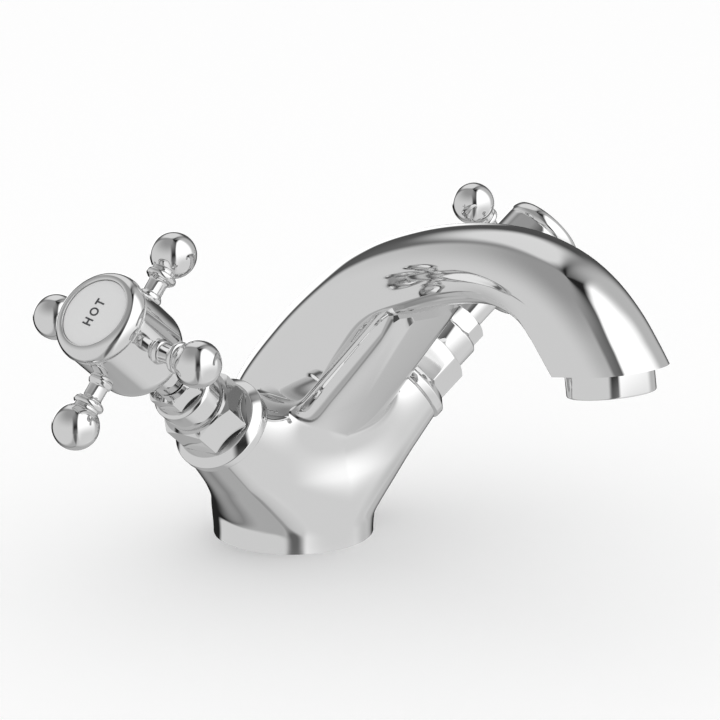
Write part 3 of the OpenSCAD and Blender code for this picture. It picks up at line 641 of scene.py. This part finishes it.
def makeHeadwork(word, side, h=headwork):
    mesh = hexNut(h["flats"], stations["hexagon"], stations["collar"], h["cornerBevel"])
    low, high = stations["collar"], stations["gland"]
    shaft = turned(softened([
        (0, h["skirtLow"], 0), (h["skirtR"], h["skirtLow"], h["edge"]), (h["skirtR"], h["threadLow"], 0),
        (h["threadR"], h["threadLow"], h["edge"]), (h["threadR"], stations["hexagon"] + overrun, 0),
        (h["collarR"] - overrun, low - overrun, 0), (h["collarR"] - h["footIn"], low, 0),
        (h["collarR"], low + h["footUp"], h["edge"]), (h["collarR"], high - h["topBevel"], h["edge"]),
        (h["collarR"] - h["topBevel"], high, h["topEdge"]), (0, high, 0)]))
    mesh = cutWith(mesh, shaft, "UNION")
    for hole in (drill(h["chamberR"], h["skirtLow"] - overrun, h["chamberTop"]),
                 drill(h["boreR"], h["chamberTop"] - overrun, high),
                 drill(h["glandR"], h["glandFloor"], high + overrun)):
        mesh = cutWith(mesh, turned(hole), "DIFFERENCE")
    finishPiece(word + "Headwork", mesh, chrome, "tap", word + "_headwork",
                onValve(side), sharp=12)


glandNut = {"flats": 14.2, "h": 5.7, "spigot": 4.6, "threadR": 6.4, "boreR": 4.05, "cornerBevel": 0.25}


def makeGlandNut(word, side, g=glandNut):
    low = stations["gland"]
    mesh = hexNut(g["flats"], low, low + g["h"], g["cornerBevel"])
    foot, top = low - g["spigot"], low + g["h"]
    mesh = cutWith(mesh, turned(drill(g["threadR"], foot, low + overrun)), "UNION")
    mesh = cutWith(mesh, turned(drill(g["boreR"], foot - overrun, top + overrun)), "DIFFERENCE")
    finishPiece(word + "GlandNut", mesh, chrome, "tap", word + "_gland_nut",
                onValve(side), sharp=12)


barrel = {"r": 13.4, "neckR": 5, "round": 8, "cupR": 10, "cupDepth": 14, "stemR": 4.05, "web": 3,
          "screwR": 2.15, "neckEdge": 0.3, "bowlSteps": 24, "rimH": 1, "rimEdge": 0.15}


def makeBarrel(word, side, b=barrel):
    low, high = stations["hub"], stations["bezel"]
    floor = high - b["cupDepth"]
    neck = softened([(b["stemR"], stations["neck"], 0), (b["neckR"], stations["neck"], b["neckEdge"]),
                     (b["neckR"], low, 0)])
    bowl = arc(b["r"] - b["round"], low + b["round"], b["round"], -90, 0, b["bowlSteps"])
    rim = softened([(b["r"], high - b["rimH"], 0), (b["r"], high, b["rimEdge"]), (b["cupR"], high, 0),
                    (b["cupR"], floor, 0), (b["screwR"], floor, 0), (b["screwR"], floor - b["web"], 0),
                    (b["stemR"], floor - b["web"], 0)])
    finishPiece(word + "Barrel", turned(neck + bowl + rim, closed=True), chrome,
                word + "_handle", word + "_hub", onValve(side), sharp=25)


bezel = {"r": 13.7, "h": 5.2, "spigotR": 9.95, "spigot": 3, "plateR": 10.25, "ledgeR": 8.65,
         "plateSink": 1.9, "lip": 0.5, "shoulder": 1.2, "seatIn": 0.35, "grooveIn": 0.1, "grooveH": 0.25,
         "domeSteps": 24, "innerDrop": 0.2, "innerEdge": 0.15}


def makeBezel(word, side, b=bezel):
    low, high = stations["bezel"], stations["top"]
    lipR = b["plateR"] + b["lip"]
    outer = [Vector((b["ledgeR"], low - b["spigot"])), Vector((b["spigotR"], low - b["spigot"])),
             Vector((b["spigotR"], low)), Vector((barrel["r"] - b["seatIn"], low)),
             Vector((barrel["r"] - b["grooveIn"], low + b["grooveH"]))]
    for i in range(b["domeSteps"] + 1):
        a = math.radians(90 * i / b["domeSteps"])
        outer.append(Vector((lipR + (b["r"] - lipR) * math.cos(a),
                             low + b["shoulder"] + (b["h"] - b["shoulder"]) * math.sin(a))))
    inner = softened([(lipR, high, 0), (b["plateR"], high - b["innerDrop"], b["innerEdge"]),
                      (b["plateR"], high - b["plateSink"], 0), (b["ledgeR"], high - b["plateSink"], 0)])[1:]
    finishPiece(word + "Bezel", turned(outer + inner, closed=True), chrome,
                word + "_handle", word + "_bezel", onValve(side), sharp=40)


spoke = {"height": 14.4, "reach": 27.8, "ballR": 6.6, "beadR": 4.5, "beadW": 2.25, "r": 2.8, "waistR": 3.69,
         "flangeR": 3.7, "flangeW": 1.4, "pegR": 2.4, "pegIn": 10.05, "turns": {"hot": -6.4, "cold": 4},
         "count": 4, "sides": 96, "seatGap": 0.05, "footIn": 0.3, "footDown": 0.4, "footUp": 0.35,
         "footEdge": 0.2, "topIn": 0.5, "topEdge": 0.25, "stemRise": 0.3, "stemEdge": 0.3,
         "beadShares": (0.75, 0.55), "beadEdge": 0.6, "cornerSteps": 5, "beadDeg": 75, "beadSteps": 14,
         "ballSink": 0.15, "ballSteps": 44}


def makeSpokes(word, side, s=spoke):
    beadX = s["reach"] - s["ballR"] - s["beadW"] / 4
    flangeX = barrel["r"] + s["seatGap"]
    flangeTop = flangeX + s["flangeW"]
    beadFoot, beadRim = s["beadShares"]
    waist = math.degrees(math.asin(s["waistR"] / s["ballR"]))
    outline = [Vector((0, s["pegIn"])), Vector((s["pegR"], s["pegIn"])), Vector((s["pegR"], flangeX))]
    outline += softened([
        (s["flangeR"] - s["footIn"], flangeX - s["footDown"], 0),
        (s["flangeR"], flangeX + s["footUp"], s["footEdge"]),
        (s["flangeR"] - s["topIn"], flangeTop, s["topEdge"]),
        (s["r"], flangeTop + s["stemRise"], s["stemEdge"]),
        (s["r"], beadX - s["beadW"] * beadFoot, s["beadEdge"]),
        (s["waistR"], beadX - s["beadW"] * beadRim, 0),
    ], s["cornerSteps"])
    outline += arc(s["beadR"] - s["beadW"] / 2, beadX, s["beadW"] / 2, -s["beadDeg"], s["beadDeg"],
                   s["beadSteps"])
    outline.append(Vector((s["waistR"],
                           s["reach"] - s["ballR"] * math.cos(math.radians(waist)) - s["ballSink"])))
    for i in range(s["ballSteps"] + 1):
        a = math.radians(waist + (180 - waist) * i / s["ballSteps"])
        outline.append(Vector((s["ballR"] * math.sin(a), s["reach"] - s["ballR"] * math.cos(a))))
    lying = Matrix.Rotation(math.pi / 2, 4, "Y")
    joined = bmesh.new()
    for k in range(s["count"]):
        one = turned(outline, s["sides"])
        place = (Matrix.Translation((0, 0, (stations["hub"] + s["height"]) * mm))
                 @ Matrix.Rotation(math.radians(s["turns"][word] + 360 * k / s["count"]), 4, "Z") @ lying)
        bmesh.ops.transform(one, matrix=place, verts=one.verts)
        data = bpy.data.meshes.new("working")
        one.to_mesh(data)
        one.free()
        joined.from_mesh(data)
        bpy.data.meshes.remove(data)
    finishPiece(word + "Spokes", joined, chrome, word + "_handle", word + "_spokes",
                onValve(side), sharp=35)


plate = {"r": 10.2, "h": 1.5, "sink": 0.4, "dome": 0.25, "edge": 0.3, "crownShares": (0.6, 0.35),
         "crownEdge": 2, "edgeSteps": 6}


def makePlate(word, side, p=plate):
    high = stations["top"] - p["sink"]
    across, fall = p["crownShares"]
    outline = softened([
        (0, high - p["h"], 0), (p["r"], high - p["h"], 0), (p["r"], high - p["dome"], p["edge"]),
        (p["r"] * across, high - p["dome"] * fall, p["crownEdge"]), (0, high, 0)], p["edgeSteps"])
    finishPiece(word + "Plate", turned(outline), finishes["index_print"], word + "_handle",
                word + "_index_disc", onValve(side), sharp=50)


lettering = {
    "hot": ("HOT", 4.3, 169), "cold": ("COLD", 3.6, 180),     # word, height in mm, turn on the plate
    "depth": 0.05, "weight": 0.09, "widthShare": 0.74, "spacing": 1.45, "curveSteps": 6,
}


def makeLetters(word, side, look=lettering):
    text, height, turn = look[word]
    curve = bpy.data.curves.new("working", "FONT")
    curve.body = text
    curve.align_x, curve.align_y = "CENTER", "CENTER"
    curve.size = height * mm
    curve.space_character = look["spacing"]
    curve.offset = look["weight"] * mm
    curve.extrude = look["depth"] * mm
    curve.resolution_u = look["curveSteps"]
    item = bpy.data.objects.new("working", curve)
    bpy.context.scene.collection.objects.link(item)
    bpy.context.view_layer.update()
    data = bpy.data.meshes.new_from_object(item)
    mesh = bmesh.new()
    mesh.from_mesh(data)
    bpy.data.objects.remove(item)
    bpy.data.meshes.remove(data)
    bpy.data.curves.remove(curve)
    place = (onValve(side) @ Matrix.Translation((0, 0, (stations["top"] - plate["sink"]) * mm))
             @ Matrix.Rotation(math.radians(turn), 4, "Z") @ Matrix.Diagonal((look["widthShare"], 1, 1, 1)))
    finishPiece(word + "Letters", mesh, ink, word + "_handle", matrix=place)


for word, side in sides.items():
    makeTrimRing(word, side)
    makeHeadwork(word, side)
    makeGlandNut(word, side)
    makeBarrel(word, side)
    makeBezel(word, side)
    makeSpokes(word, side)
    makePlate(word, side)
    makeLetters(word, side)
    print(word, "valve and handle made")


# Studio: floor, light panels and world

floorLook = {"size": 6, "colour": "#FFFFFF", "roughness": 0.9}


def makeFloor(look=floorLook):
    mesh = bmesh.new()
    bmesh.ops.create_grid(mesh, x_segments=1, y_segments=1, size=look["size"] / 2)
    data = bpy.data.meshes.new("floor")
    mesh.to_mesh(data)
    mesh.free()
    floor = bpy.data.objects.new("floor", data)
    bpy.context.scene.collection.objects.link(floor)
    material, _, _ = newMaterial("matt white paper", {"Base Color": linear(look["colour"]),
                                                      "Roughness": look["roughness"]})
    data.materials.append(material)
    floor.visible_glossy = False


makeFloor()

camera = {"place": (-0.431449, -0.512367, 0.225019), "tilt": 75.71, "turn": -41.88, "lens": 112.35,
          "sensor": 36, "near": 0.01, "far": 50}


def makeCamera(c=camera):
    data = bpy.data.cameras.new("camera")
    data.lens = c["lens"]
    data.sensor_width = c["sensor"]
    data.clip_start, data.clip_end = c["near"], c["far"]
    item = bpy.data.objects.new("camera", data)
    item.location = c["place"]
    item.rotation_euler = (math.radians(c["tilt"]), 0, math.radians(c["turn"]))
    bpy.context.scene.collection.objects.link(item)
    bpy.context.scene.camera = item


makeCamera()

# Light boxes by direction in degrees: azimuth from the front towards the right, height above the horizon,
# half width, half height, softness of the edge as a share of the box, brightness
studioLook = {
    "backdrop": 1.0, "dark": 0.02, "corner": 3,
    "boxes": [
        (0, -64, 182, 44, 0.12, 0.52),      # table top all round
        (150, 20, 66, 22, 0.35, 0.09),      # dim room behind
        (-110, 2, 62, 70, 0.1, 0.82),       # grey wall on the left
        (-113, 92, 90, 62, 0.5, 0.4),       # its upper part, falling off
        (35, 2, 60, 70, 0.07, 1.5),         # white wall on the right
        (31, -46, 62, 44, 0.55, 0.84),      # its foot, darker towards the table
        (88, 15, 20, 56, 0.55, 0.62),       # its far end, falling off
        (148, 54, 34, 24, 0.3, 0.92),       # panel behind on the right
        (157, 1, 21, 12, 0.15, 1.45),       # bright slot behind
        (-38, -42, 9, 36, 0.6, 0.16),       # shade under the camera
    ],
}


def makeWorld(look=studioLook):
    world = bpy.data.worlds.new("studio")
    bpy.context.scene.world = world
    world.use_nodes = True
    tree = world.node_tree
    tree.nodes.clear()

    def calc(operation, *values):
        node = addNode(tree, "ShaderNodeMath", {"operation": operation})
        for socket, value in zip(node.inputs, values):
            if isinstance(value, (int, float)):
                socket.default_value = value
            else:
                tree.links.new(value, socket)
        return node.outputs["Value"]

    def away(angle, centre, half):
        gap = calc("WRAP", calc("SUBTRACT", angle, centre), 180, -180)
        return calc("POWER", calc("DIVIDE", calc("ABSOLUTE", gap), half), look["corner"])

    way = addNode(tree, "ShaderNodeSeparateXYZ",
                  links={"Vector": addNode(tree, "ShaderNodeTexCoord").outputs["Generated"]})
    azimuth = calc("DEGREES", calc("ARCTAN2", way.outputs["X"], calc("MULTIPLY", way.outputs["Y"], -1)))
    height = calc("DEGREES", calc("ARCSINE", way.outputs["Z"]))
    value = look["dark"]
    for turn, rise, halfTurn, halfRise, soft, bright in look["boxes"]:
        far = calc("POWER", calc("ADD", away(azimuth, turn, halfTurn), away(height, rise, halfRise)),
                   1 / look["corner"])
        share = addNode(tree, "ShaderNodeMapRange", {"interpolation_type": "SMOOTHSTEP"},
                        {"From Min": 1 + soft, "From Max": 1 - soft}, {"Value": far}).outputs["Result"]
        value = calc("MULTIPLY_ADD", share, calc("SUBTRACT", bright, value), value)
    white = linear("#FFFFFF")
    plain = addNode(tree, "ShaderNodeBackground", inputs={"Color": white, "Strength": look["backdrop"]})
    seen = addNode(tree, "ShaderNodeBackground", inputs={"Color": white}, links={"Strength": value})
    path = addNode(tree, "ShaderNodeLightPath")
    pick = addNode(tree, "ShaderNodeMixShader", links={"Fac": path.outputs["Is Glossy Ray"]})
    tree.links.new(plain.outputs["Background"], pick.inputs[1])
    tree.links.new(seen.outputs["Background"], pick.inputs[2])
    addNode(tree, "ShaderNodeOutputWorld", links={"Surface": pick.outputs["Shader"]})


makeWorld()
bpy.context.scene.view_settings.view_transform = "Standard"
print("studio made")
